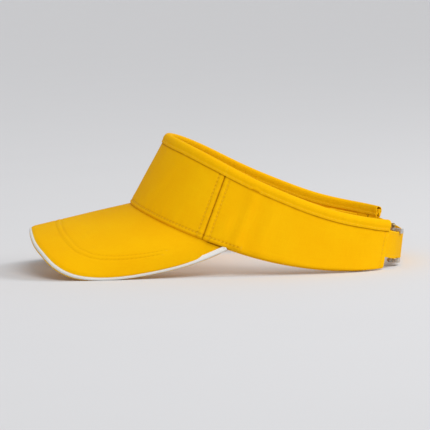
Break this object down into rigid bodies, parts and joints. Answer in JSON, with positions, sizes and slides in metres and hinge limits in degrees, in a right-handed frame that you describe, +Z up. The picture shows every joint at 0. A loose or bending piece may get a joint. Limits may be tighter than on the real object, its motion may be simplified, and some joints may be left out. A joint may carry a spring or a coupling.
{
  "type": "sun visor",
  "caption": "Open-crown cloth sun visor: arched stiff brim with a contrast edge, tapered three-panel head band, rear cloth strap with a metal lever buckle.",
  "frame": {"origin": "centre of the visor's footprint, on the surface that it stands on", "axes": "+Z up as the visor stands on its brim and its two band ends, +X from the brim towards the strap, +Y towards the wearer's right"},
  "size_m": [0.2576, 0.1584, 0.0924],
  "materials": {
    "yellow_twill": "cotton twill, matt",
    "yellow_lining": "cotton lining, matt",
    "yellow_sweatband": "brushed cotton, matt",
    "white_trim": "white cotton tape",
    "white_buckram": "stiffened cotton",
    "board_plastic": "moulded board",
    "buckle_metal": "plated, satin",
    "pin_brass": "aged brass"
  },
  "bodies": {
    "front_brim_and_right_side": {"brim_top_cover": "yellow_twill", "brim_board": "board_plastic", "brim_under_cover": "yellow_twill", "brim_contrast_trim": "white_trim", "brim_joining_tape": "yellow_twill", "front_panel": "yellow_twill", "front_buckram": "white_buckram", "front_lining": "yellow_lining", "front_sweatband": "yellow_sweatband", "front_binding": "yellow_twill", "left_seam_tape": "yellow_twill", "right_seam_tape": "yellow_twill", "right_side_panel": "yellow_twill", "right_interlining": "white_buckram", "right_lining": "yellow_lining", "right_end_hem": "yellow_lining", "right_sweatband": "yellow_sweatband", "right_binding": "yellow_twill", "adjuster_strap": "yellow_twill"},
    "left_side": {"left_side_panel": "yellow_twill", "left_interlining": "white_buckram", "left_lining": "yellow_lining", "left_end_hem": "yellow_lining", "left_sweatband": "yellow_sweatband", "left_binding": "yellow_twill", "buckle_tab": "yellow_twill", "buckle_frame": "buckle_metal", "buckle_pin": "pin_brass"},
    "buckle_lever": {"buckle_lever": "buckle_metal"}
  },
  "joints": [
    {"name": "left_side_flex", "type": "hinge", "parent": "front_brim_and_right_side", "child": "left_side", "pos_m": [-0.01148, -0.06873, 0.0282], "axis": [0.3767, 0.1791, 0.9088], "range_deg": [-3, 6], "deforming": ["adjuster_strap"]},
    {"name": "buckle_lever_flip", "type": "hinge", "parent": "left_side", "child": "buckle_lever", "pos_m": [0.11726, -0.03436, 0.01395], "axis": [-0.1448, -0.0555, -0.9879], "range_deg": [0, 95]}
  ]
}
